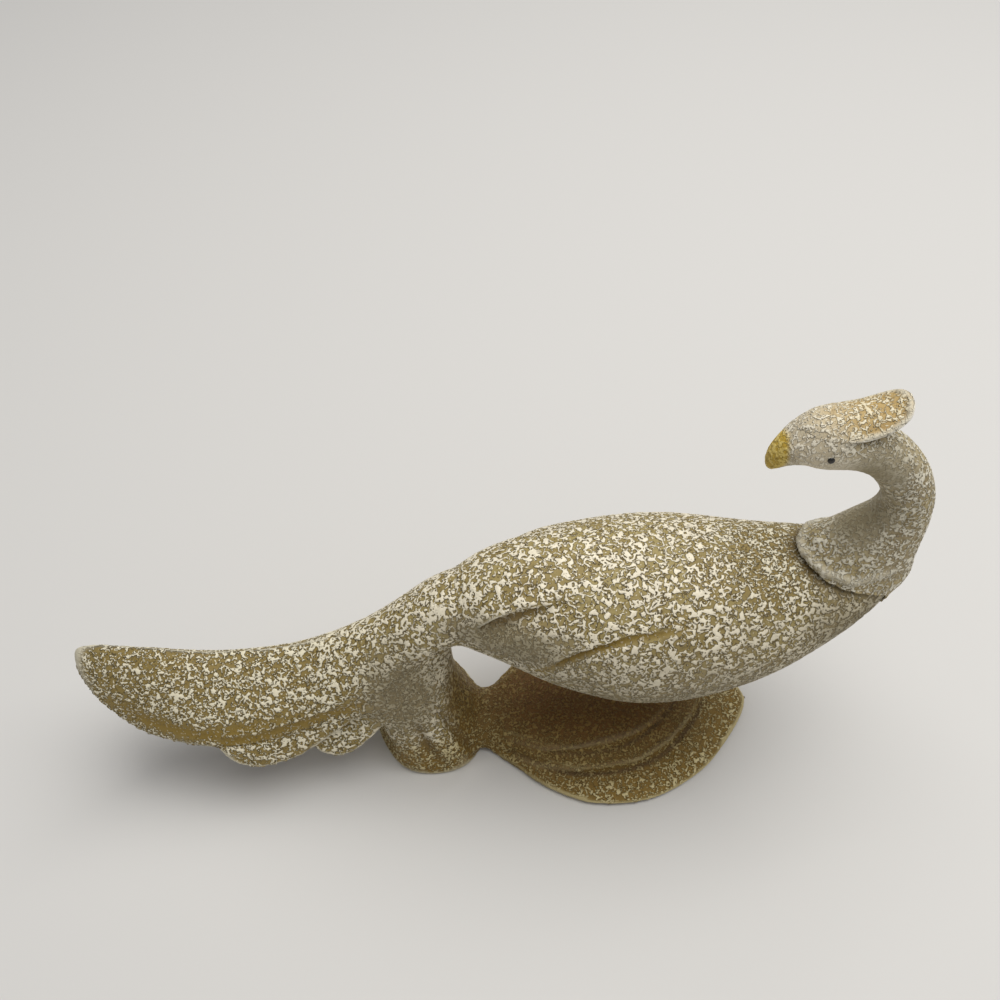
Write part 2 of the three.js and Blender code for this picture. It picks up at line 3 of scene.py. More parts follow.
import bmesh
import bpy
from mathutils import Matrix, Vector


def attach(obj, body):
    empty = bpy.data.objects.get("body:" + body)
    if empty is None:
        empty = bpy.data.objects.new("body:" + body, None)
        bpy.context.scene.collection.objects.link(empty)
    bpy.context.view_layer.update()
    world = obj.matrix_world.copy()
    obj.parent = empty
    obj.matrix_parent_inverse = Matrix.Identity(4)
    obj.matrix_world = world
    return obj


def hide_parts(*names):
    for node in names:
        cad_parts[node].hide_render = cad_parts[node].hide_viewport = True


# Lengths are in metres, in the frame of the CAD nodes.
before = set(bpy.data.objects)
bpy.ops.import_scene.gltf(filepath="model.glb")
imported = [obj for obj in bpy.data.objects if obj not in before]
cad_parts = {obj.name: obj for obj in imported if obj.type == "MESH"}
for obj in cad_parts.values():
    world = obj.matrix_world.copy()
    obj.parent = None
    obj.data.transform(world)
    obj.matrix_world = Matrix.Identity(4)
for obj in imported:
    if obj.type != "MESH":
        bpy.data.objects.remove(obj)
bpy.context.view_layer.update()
print("frame loaded")


# Camera, floor and light

camera = {
    "place": (-0.0004, -0.2217, 0.3843),
    "turn": (41.005, 1.621, -3.612),
    "lens": 39.96,
    "sensor": 36.0,
}
floor = {"size": 4.0, "colour": (211, 208, 202), "roughness": 0.8}
lamps = {
    "overhead": {"place": (0.36, 0.14, 1.25), "aim": (0.0, 0.0, 0.05), "size": 1.4, "watts": 18.6},
}
room = {"colour": (236, 238, 244), "strength": 0.38}


def linear(colour):
    # a colour from 0 to 255 as the linear light that a node takes, by the sRGB curve
    shares = [part / 255 for part in colour]
    return tuple(s / 12.92 if s <= 0.04045 else ((s + 0.055) / 1.055) ** 2.4 for s in shares)


def addCamera():
    lens = bpy.data.cameras.new("camera")
    lens.lens = camera["lens"]
    lens.sensor_width = camera["sensor"]
    eye = bpy.data.objects.new("camera", lens)
    eye.location = camera["place"]
    eye.rotation_euler = [radians(part) for part in camera["turn"]]
    bpy.context.collection.objects.link(eye)
    bpy.context.scene.camera = eye


def addLamp(name, made):
    light = bpy.data.lights.new(name, "AREA")
    light.shape = "SQUARE"
    light.size = made["size"]
    light.energy = made["watts"]
    lamp = bpy.data.objects.new(name, light)
    lamp.location = made["place"]
    away = Vector(made["aim"]) - Vector(made["place"])
    lamp.rotation_euler = away.to_track_quat("-Z", "Y").to_euler()
    bpy.context.collection.objects.link(lamp)


addCamera()
for lampName, lampMade in lamps.items():
    addLamp(lampName, lampMade)

bpy.context.scene.view_settings.view_transform = "Standard"
world = bpy.data.worlds.new("room")
world.use_nodes = True
world.node_tree.nodes["Background"].inputs["Color"].default_value = (*linear(room["colour"]), 1)
world.node_tree.nodes["Background"].inputs["Strength"].default_value = room["strength"]
bpy.context.scene.world = world
print("camera and light placed")


# Node helpers, for materials and for the relief modifier alike

class Wire:
    # one output socket, or the end of an expression on some
    def __init__(self, sheet, socket):
        self.sheet = sheet
        self.socket = socket

    def maths(self, kind, *values):
        return self.sheet.node("ShaderNodeMath", {"operation": kind}, dict(enumerate(values)))

    def __add__(self, other):
        return self.maths("ADD", self, other)

    def __radd__(self, other):
        return self.maths("ADD", other, self)

    def __sub__(self, other):
        return self.maths("SUBTRACT", self, other)

    def __rsub__(self, other):
        return self.maths("SUBTRACT", other, self)

    def __mul__(self, other):
        return self.maths("MULTIPLY", self, other)

    def __rmul__(self, other):
        return self.maths("MULTIPLY", other, self)

    def lower(self, other):
        return self.maths("MINIMUM", self, other)

    def higher(self, other):
        return self.maths("MAXIMUM", self, other)


mixSockets = {"RGBA": (6, 7, 2), "VECTOR": (4, 5, 1)}    # first input, second input and result


class Sheet:
    # a node tree that is written line by line
    def __init__(self, tree):
        self.tree = tree

    def node(self, kind, settings=None, inputs=None, output=0):
        made = self.tree.nodes.new(kind)
        for name, value in (settings or {}).items():
            setattr(made, name, value)
        for name, value in (inputs or {}).items():
            if isinstance(value, Wire):
                self.tree.links.new(value.socket, made.inputs[name])
            else:
                made.inputs[name].default_value = value
        return Wire(self, made.outputs[output]) if made.outputs else None

    def noise(self, place, scale, detail=1.0, roughness=0.5, distortion=0.0):
        return self.node("ShaderNodeTexNoise", None, {
            "Vector": place, "Scale": scale, "Detail": detail,
            "Roughness": roughness, "Distortion": distortion,
        })

    def rise(self, value, low, high):
        # 0 below low, 1 above high and a soft step between
        return self.node("ShaderNodeMapRange", {"interpolation_type": "SMOOTHSTEP"}, {
            "Value": value, "From Min": low, "From Max": high,
        })

    def mix(self, kind, share, first, second):
        # first where the share is 0, second where it is 1
        start, end, result = mixSockets[kind]
        return self.node("ShaderNodeMix", {"data_type": kind}, {0: share, start: first, end: second}, result)

    def blend(self, share, first, second):
        # the same for two colours, from 0 to 255 or from other nodes
        paints = [(*linear(paint), 1) if isinstance(paint, tuple) else paint for paint in (first, second)]
        return self.mix("RGBA", share, *paints)

    def vectors(self, kind, *values, output=0):
        return self.node("ShaderNodeVectorMath", {"operation": kind}, dict(enumerate(values)), output)

    def parts(self, vector):
        split = self.node("ShaderNodeSeparateXYZ", None, {0: vector})
        return [Wire(self, output) for output in split.socket.node.outputs]

    def attribute(self, name, output):
        return self.node("ShaderNodeAttribute", {"attribute_name": name}, None, output)


# The crawl glaze, whose islands the relief and the colour both follow

glaze = {
    "islandScale": 590.0,      # islands in a metre
    "smallScale": 900.0,
    "swirl": 1.0,
    "driftScale": 75.0,        # patches where the islands lie denser
    "driftShare": 0.14,
    "grainScale": 1900.0,
    "grainShare": 0.05,
    "edge": 0.014,             # half the width of the step between ground and island
    "slope": (0.45, 0.57),     # levels of the film between which an island rises
    "shoreShade": (0.4, 0.475),     # levels of the film for the dark outline round each island, the glaze's own ring with painted shade along the island's edge
    "closed": 0.8,             # how far the film closes up where it is calm
    "dotScale": 1250.0,
    "dotSlope": (0.67, 0.7),
    "dotShare": 0.8,
    "holeScale": 1100.0,
    "holeSlope": (0.7, 0.73),
    "holeShare": 0.9,
    "holeShift": (0.31, 0.17, 0.23),
}
millimetre = 0.001


def shoreLevel(sheet, place, cover, finer):
    # height of the glaze film, which breaks up into islands where this is over a half
    coarse = sheet.noise(place, glaze["islandScale"], detail=0.0, distortion=glaze["swirl"])
    small = sheet.noise(place, glaze["smallScale"], detail=0.0, distortion=glaze["swirl"])
    big = coarse + (small - coarse) * finer
    drift = sheet.noise(place, glaze["driftScale"])
    grain = sheet.noise(place, glaze["grainScale"])
    return big + (drift - 0.5) * glaze["driftShare"] + (grain - 0.5) * glaze["grainShare"] + cover


def puffed(sheet, level, calm):
    # the rounded height of the film, level where it is calm
    height = sheet.rise(level, *glaze["slope"])
    return height + (glaze["closed"] - height) * calm


def islands(sheet, place, level, calm):
    # 1 on an island and 0 on the ground, with small dots and pinholes, and closed up where it is calm
    raised = sheet.rise(level, 0.5 - glaze["edge"], 0.5 + glaze["edge"])
    dots = sheet.rise(sheet.noise(place, glaze["dotScale"], detail=0.0), *glaze["dotSlope"])
    moved = sheet.vectors("ADD", place, glaze["holeShift"])
    holes = sheet.rise(sheet.noise(moved, glaze["holeScale"], detail=0.0), *glaze["holeSlope"])
    raised = raised.higher(dots * glaze["dotShare"]) * (1.0 - holes * glaze["holeShare"])
    return raised + (glaze["closed"] - raised) * calm


# Patches and creases, kept on the surface as attributes

raggedDetail = 2.0
patchBorder = {"scale": 160.0, "share": 1.5}
rimBorder = {"scale": 500.0, "share": 0.2}
rimRounds = 30
hollowRounds = 40
rimUnderOlive = 0.75                           # share of a rim that olive covers
creaseCover = {"golden": 0.2, "dark": 0.12}    # how far the islands draw back from a crease


def ragged(sheet, place, border):
    # wanders to both sides of 0
    return (sheet.noise(place, border["scale"], raggedDetail) - 0.5) * border["share"]


def within(sheet, place, patch):
    # 1 inside an ellipsoid with a ragged border, 0 outside
    centre = tuple(Vector(patch["centre"]) * millimetre)
    reach = tuple(Vector(patch["reach"]) * millimetre)
    away = sheet.vectors("DIVIDE", sheet.vectors("SUBTRACT", place, centre), reach)
    far = sheet.vectors("LENGTH", away, output="Value")
    far = far + ragged(sheet, place, patchBorder) * patch["soft"]
    return 1.0 - sheet.rise(far, 1.0 - patch["soft"], 1.0 + patch["soft"])


def creased(sheet, place, crease):
    # 1 on the line of a crease, down to 0 at its edge, which lies further off on its lower side
    if crease["mirrored"]:
        x, y, z = sheet.parts(place)
        near = y.lower(y * -1.0)
        place = sheet.node("ShaderNodeCombineXYZ", None, {0: x, 1: near, 2: z})
    above, below = (width * millimetre for width in crease["widths"])
    most = 0.0
    for start, end in zip(crease["path"], crease["path"][1:]):
        origin = Vector(start[:3]) * millimetre
        run = Vector(end[:3]) * millimetre - origin
        away = sheet.vectors("SUBTRACT", place, tuple(origin))
        share = sheet.vectors("DOT_PRODUCT", away, tuple(run), output="Value") * (1 / run.length_squared)
        share = share.higher(0.0).lower(1.0)
        onLine = sheet.node("ShaderNodeVectorMath", {"operation": "SCALE"}, {0: tuple(run), "Scale": share})
        offset = sheet.vectors("SUBTRACT", away, onLine)
        lower = 1.0 - sheet.rise(sheet.parts(offset)[2], -above, above)
        reach = above + (below - above) * lower
        far = sheet.vectors("LENGTH", offset, output="Value")
        strength = start[3] + (end[3] - start[3]) * share
        most = ((1.0 - sheet.rise(far, 0.0, reach)) * strength).higher(most)
    return most


def smoothed(sheet, place, rounds):
    return sheet.node("GeometryNodeBlurAttribute", {"data_type": "FLOAT_VECTOR"}, {
        "Value": place, "Iterations": rounds,
    })


def bulge(sheet, place, normal, rounds):
    # how far the form stands out from its own surroundings, in millimetres
    outwards = sheet.vectors("SUBTRACT", place, smoothed(sheet, place, rounds))
    return sheet.vectors("DOT_PRODUCT", outwards, normal, output="Value") * (1 / millimetre)


def kept(sheet, shape, name, value, kind="FLOAT"):
    return sheet.node("GeometryNodeStoreNamedAttribute", {"data_type": kind, "domain": "POINT"}, {
        "Geometry": shape, "Name": name, "Value": value,
    })


def stored(sheet, name):
    return sheet.node("GeometryNodeInputNamedAttribute", {"data_type": "FLOAT"}, {"Name": name})


def shifted(sheet, shape, normal, distance):
    offset = sheet.node("ShaderNodeVectorMath", {"operation": "SCALE"}, {0: normal, "Scale": distance})
    return sheet.node("GeometryNodeSetPosition", None, {"Geometry": shape, "Offset": offset})


def outerSkin(sheet, shape):
    # leaves out the skins of voids inside, which have fewer points than the outer one
    points = sheet.node("GeometryNodeAccumulateField", {"data_type": "INT"}, {
        "Group ID": sheet.node("GeometryNodeInputMeshIsland"),
    }, "Total")
    most = sheet.node("GeometryNodeAttributeStatistic", None, {
        "Geometry": shape, "Attribute": points,
    }, "Max")
    fewer = points.maths("LESS_THAN", points, most)
    return sheet.node("GeometryNodeDeleteGeometry", None, {"Geometry": shape, "Selection": fewer})


def surfaceTree(name, made):
    # smooths the luted joints, cuts the creases, keeps what the glaze needs and sinks its ground
    tree = bpy.data.node_groups.new(name, "GeometryNodeTree")
    tree.interface.new_socket("Geometry", in_out="INPUT", socket_type="NodeSocketGeometry")
    tree.interface.new_socket("Geometry", in_out="OUTPUT", socket_type="NodeSocketGeometry")
    sheet = Sheet(tree)
    shape = outerSkin(sheet, sheet.node("NodeGroupInput"))
    place = sheet.node("GeometryNodeInputPosition")
    normal = sheet.node("GeometryNodeInputNormal")
    for patch in made["joints"]:
        wiped = smoothed(sheet, place, patch["rounds"])
        mixed = sheet.mix("VECTOR", within(sheet, place, patch), place, wiped)
        shape = sheet.node("GeometryNodeSetPosition", None, {"Geometry": shape, "Position": mixed})
    ridge = bulge(sheet, place, normal, rimRounds) + ragged(sheet, place, rimBorder)
    shape = kept(sheet, shape, "rim", sheet.rise(ridge, *made["rims"]))
    for crease in made["creases"]:
        share = creased(sheet, place, crease)
        shape = kept(sheet, shape, "share", share)
        share = stored(sheet, "share")
        shape = shifted(sheet, shape, normal, share * (-crease["depth"] * millimetre))
    tones = dict.fromkeys(creaseTones, 0.0)
    for crease in made["creases"]:
        stain = creased(sheet, place, crease) * crease["stain"]
        tones[crease["tone"]] = stain.higher(tones[crease["tone"]])
    shape = kept(sheet, shape, "hollow", bulge(sheet, place, normal, hollowRounds) * -1.0)
    for tone, share in tones.items():
        shape = kept(sheet, shape, tone, share)
    bared = tones["golden"] * creaseCover["golden"] + tones["dark"] * creaseCover["dark"]
    cover = made["cover"] - bared
    rim = stored(sheet, "rim")
    calm = tones["bright"]
    tints = dict.fromkeys(tintPaints, 0.0)
    for patch in made["patches"]:
        share = within(sheet, place, patch)
        cover = share * patch["cover"] + cover
        calm = (share * patch["calm"]).higher(calm)
        if "tint" in patch:
            tints[patch["tint"]] = share.higher(tints[patch["tint"]])
    rim = rim * (1.0 - tints["olive"] * rimUnderOlive)
    shape = kept(sheet, shape, "rim", rim)
    calm = rim.higher(calm)
    finer = made["finer"]
    for patch in made["patches"]:
        if "finer" in patch:
            finer = within(sheet, place, patch) * patch["finer"] + finer
    shape = kept(sheet, shape, "cover", cover)
    shape = kept(sheet, shape, "finer", finer)
    shape = kept(sheet, shape, "calm", calm)
    for tint, share in tints.items():
        shape = kept(sheet, shape, tint, share)
    shape = kept(sheet, shape, "seat", place, "FLOAT_VECTOR")
    calm = stored(sheet, "calm")
    height = puffed(sheet, shoreLevel(sheet, place, cover, finer), calm)
    shape = shifted(sheet, shape, normal, (1.0 - height) * (-made["relief"] * millimetre))
    sheet.node("NodeGroupOutput", None, {"Geometry": shape})
    return tree


# The glaze as a material

tintPaints = {
    # painted shade over a darker ground
    "shade": {"ground": (142, 121, 66), "deep": (88, 74, 34), "island": (234, 224, 194)},
    # grey glaze with painted shade where the form turns from the light
    "shadedGrey": {"ground": (132, 117, 82), "deep": (104, 90, 55), "island": (166, 154, 123)},
    "flecked": {"ground": (130, 102, 36), "deep": (90, 68, 20), "island": (206, 190, 140)},
    "olive": {"ground": (114, 87, 32), "deep": (84, 62, 20), "island": (158, 134, 76)},
    # brown glaze darkened with the painted shadow of the body over the base
    "shadowedBrown": {"ground": (116, 78, 26), "deep": (88, 58, 16), "island": (140, 108, 48)},
    "pale": {"ground": (200, 184, 150), "deep": (172, 156, 124), "island": (238, 228, 204)},
    "gilded": {"ground": (206, 168, 48), "deep": (152, 118, 24), "island": (236, 208, 114)},
}
# dark is painted shade under the wing ledge, the collar and the crest's edge, golden is glaze pooled in
# grooves with painted shade in the first feather's low band, and bright is glaze breaking pale
creaseTones = {"dark": (92, 72, 36), "golden": (140, 112, 32), "bright": (208, 202, 184)}
surfaceLook = {
    "broad": (60.0, 3.0, 0.6),       # scale, detail and roughness of the noise
    "mottle": (420.0, 2.0, 0.6),
    "fine": (2600.0, 2.0, 0.6),
    "warmSlope": (0.38, 0.62),
    "greySlope": (0.35, 0.7),
    "deepSlope": (0.5, 0.7),
    "rimShare": 0.6,
    "lowShare": 0.7,                 # of the pools and creases that show on the islands
    "poolSlope": 0.5,                # millimetres of hollow over which a pool deepens
    "roughness": 0.6,
    "raisedRoughness": -0.12,
    "fineRoughness": 0.1,
    "raisedHeight": 0.25,
    "bump": 0.9,
    "bumpDistance": 0.0007,
    "specular": 0.4,
}


def crawlGlaze(name, made, paint):
    # raised pale islands on a tan ground, olive where it pools and pale where it breaks over a rim
    material = bpy.data.materials.new(name)
    material.use_nodes = True
    material.node_tree.nodes.clear()
    sheet = Sheet(material.node_tree)
    place = sheet.attribute("seat", "Vector")
    rim = sheet.attribute("rim", "Fac")
    hollow = sheet.attribute("hollow", "Fac")
    level = shoreLevel(sheet, place, sheet.attribute("cover", "Fac"), sheet.attribute("finer", "Fac"))
    calm = sheet.attribute("calm", "Fac")
    raised = islands(sheet, place, level, calm)
    look = surfaceLook
    broad = sheet.noise(place, *look["broad"])
    mottle = sheet.noise(place, *look["mottle"])
    fine = sheet.noise(place, *look["fine"])
    ground = sheet.blend(sheet.rise(broad, *look["warmSlope"]), paint["ground"], paint["groundWarm"])
    pale = sheet.blend(sheet.rise(mottle, *look["greySlope"]), paint["island"], paint["islandGrey"])
    deep = paint["deep"]
    # patch tints, several of which paint shade over the ground, the deep tone and the islands
    for tint, tinted in tintPaints.items():
        share = sheet.attribute(tint, "Fac")
        ground = sheet.blend(share, ground, tinted["ground"])
        deep = sheet.blend(share, deep, tinted["deep"])
        pale = sheet.blend(share, pale, tinted["island"])
    # dark outline round each island: partly the glaze's own ring, partly painted shade where the raised edge
    # shadows the ground
    shoreShade = sheet.rise(level, *glaze["shoreShade"]) * (1.0 - raised)
    ground = sheet.blend(sheet.rise(mottle, *look["deepSlope"]) * paint["mottling"], ground, deep)
    ground = sheet.blend(shoreShade * paint["outline"], ground, deep)
    pooled = sheet.rise(hollow, made["poolFrom"], made["poolFrom"] + look["poolSlope"])
    ground = sheet.blend(pooled, ground, paint["pool"])
    pale = sheet.blend(pooled * look["lowShare"], pale, paint["pool"])
    # crease tones over ground and islands, the dark one painted shade under ledges and edges
    for tone, toned in creaseTones.items():
        share = sheet.attribute(tone, "Fac")
        ground = sheet.blend(share, ground, toned)
        pale = sheet.blend(share * look["lowShare"], pale, toned)
    colour = sheet.blend(raised, ground, pale)
    colour = sheet.blend(rim * look["rimShare"], colour, paint["rim"])
    roughness = look["roughness"] + raised * look["raisedRoughness"] + (fine - 0.5) * look["fineRoughness"]
    height = puffed(sheet, level, calm) + raised * look["raisedHeight"] + fine * paint["grain"]
    bump = sheet.node("ShaderNodeBump", None, {
        "Strength": look["bump"], "Distance": look["bumpDistance"], "Height": height,
    })
    skin = sheet.node("ShaderNodeBsdfPrincipled", None, {
        "Base Color": colour, "Roughness": roughness, "Normal": bump,
        "Specular IOR Level": look["specular"],
    })
    sheet.node("ShaderNodeOutputMaterial", None, {"Surface": skin})
    return material


# Castings: copies of the nodes run into one skin, textured, and parted again

weld = 0.00001             # distance below which two points are one
quadAngles = (30, 50)      # how far two triangles may differ from a flat, square face
sharpAngle = 50
roundings = 2
lumpGrid = (32, 16)
softness = 0.5             # of the way to the middle of its neighbours that a point moves in a round
inset = 0.00006            # keeps the casting inside the nodes that it stands for
patchLeast = 400           # faces of the smallest patch that stays a clay of its own
capSides = 4               # a face with more sides than this is a cap
capDepth = 0.25            # of a cap's own reach
smoothAngle = 65


def pick(piece):
    bpy.ops.object.select_all(action="DESELECT")
    piece.select_set(True)
    bpy.context.view_layer.objects.active = piece


def apply(piece, kind, **settings):
    pick(piece)
    modifier = piece.modifiers.new(kind.lower(), kind)
    for name, value in settings.items():
        setattr(modifier, name, value)
    bpy.ops.object.modifier_apply(modifier=modifier.name)


def roundedCopy(node, swell):
    source = bpy.data.objects[node]
    copy = source.copy()
    copy.data = source.data.copy()
    copy.name = node + "_copy"
    copy.parent = None
    bpy.context.collection.objects.link(copy)
    copy.data.materials.clear()
    copy.data.materials.append(bpy.data.materials.new(node + "_mark"))
    pick(copy)
    bpy.ops.object.mode_set(mode="EDIT")
    bpy.ops.mesh.select_all(action="SELECT")
    bpy.ops.mesh.remove_doubles(threshold=weld)
    flat, square = [radians(angle) for angle in quadAngles]
    bpy.ops.mesh.tris_convert_to_quads(face_threshold=flat, shape_threshold=square)
    bpy.ops.mesh.select_all(action="DESELECT")
    bpy.ops.mesh.edges_select_sharp(sharpness=radians(sharpAngle))
    bpy.ops.transform.edge_crease(value=1)
    bpy.ops.object.mode_set(mode="OBJECT")
    apply(copy, "SUBSURF", levels=roundings, render_levels=roundings)
    if swell:
        apply(copy, "DISPLACE", strength=swell, mid_level=0)
    return copy


def lutingClay(lump):
    # a lump of clay that fills the joint between two castings
    bpy.ops.object.select_all(action="DESELECT")
    bpy.ops.mesh.primitive_uv_sphere_add(
        segments=lumpGrid[0], ring_count=lumpGrid[1], radius=millimetre,
        location=Vector(lump["centre"]) * millimetre, scale=lump["reach"],
    )
    clay = bpy.context.object
    bpy.ops.object.transform_apply(location=True, rotation=True, scale=True)
    clay.data.materials.append(bpy.data.materials[lump["node"] + "_mark"])
    return clay


def mergePatches(whole):
    # a small patch of one clay inside another takes the clay round it
    skin = bmesh.new()
    skin.from_mesh(whole.data)
    seen = set()
    for first in skin.faces:
        if first.index in seen:
            continue
        clay = first.material_index
        patch = []
        around = []
        queue = [first]
        seen.add(first.index)
        while queue:
            face = queue.pop()
            patch.append(face)
            for edge in face.edges:
                for near in edge.link_faces:
                    if near.material_index != clay:
                        around.append(near.material_index)
                    elif near.index not in seen:
                        seen.add(near.index)
                        queue.append(near)
        if around and len(patch) < patchLeast:
            for face in patch:
                face.material_index = max(sorted(set(around)), key=around.count)
    skin.to_mesh(whole.data)
    skin.free()


def cast(nodes, made):
    copies = [roundedCopy(node, made["swell"]) for node in nodes]
    copies += [lutingClay(lump) for lump in made["lumps"]]
    bpy.ops.object.select_all(action="DESELECT")
    for copy in copies:
        copy.select_set(True)
    whole = copies[0]
    bpy.context.view_layer.objects.active = whole
    bpy.ops.object.join()
    whole.data.remesh_voxel_size = made["grid"]
    whole.data.use_remesh_preserve_attributes = True
    bpy.ops.object.voxel_remesh()
    apply(whole, "SMOOTH", factor=softness, iterations=made["softening"])
    apply(whole, "DISPLACE", strength=-made["swell"] - inset, mid_level=0)
    print("cast", nodes, len(whole.data.polygons), "faces")
    pick(whole)
    modifier = whole.modifiers.new("relief", "NODES")
    modifier.node_group = surfaceTree(nodes[0] + "_surface", made)
    bpy.ops.object.modifier_apply(modifier=modifier.name)
    mergePatches(whole)
    bpy.ops.object.mode_set(mode="EDIT")
    bpy.ops.mesh.select_all(action="SELECT")
    bpy.ops.mesh.separate(type="MATERIAL")
    bpy.ops.object.mode_set(mode="OBJECT")
    parted = {}
    for piece in list(bpy.context.selected_objects):
        node = piece.data.materials[piece.data.polygons[0].material_index].name.removesuffix("_mark")
        parted[node] = piece
    return parted


def finish(piece, name, node, material):
    pick(piece)
    bpy.ops.object.mode_set(mode="EDIT")
    bpy.ops.mesh.select_all(action="SELECT")
    bpy.ops.mesh.fill_holes(sides=0)
    # the caps over the joints are sunk into the clay, so that none lies in front of a valley
    bpy.ops.mesh.select_mode(type="FACE")
    bpy.ops.mesh.select_all(action="DESELECT")
    bpy.ops.mesh.select_face_by_sides(number=capSides, type="GREATER")
    bpy.ops.mesh.poke(offset=capDepth, use_relative_offset=True, center_mode="MEDIAN")
    bpy.ops.mesh.select_mode(type="VERT")
    bpy.ops.object.mode_set(mode="OBJECT")
    bpy.ops.object.shade_smooth_by_angle(angle=radians(smoothAngle))
    piece.data.materials.clear()
    piece.data.materials.append(material)
    piece.name = name
    piece.data.name = name
    print(name, len(piece.data.polygons), "faces")
    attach(piece, "root")
    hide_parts(node)


# Body, tail, foot and base

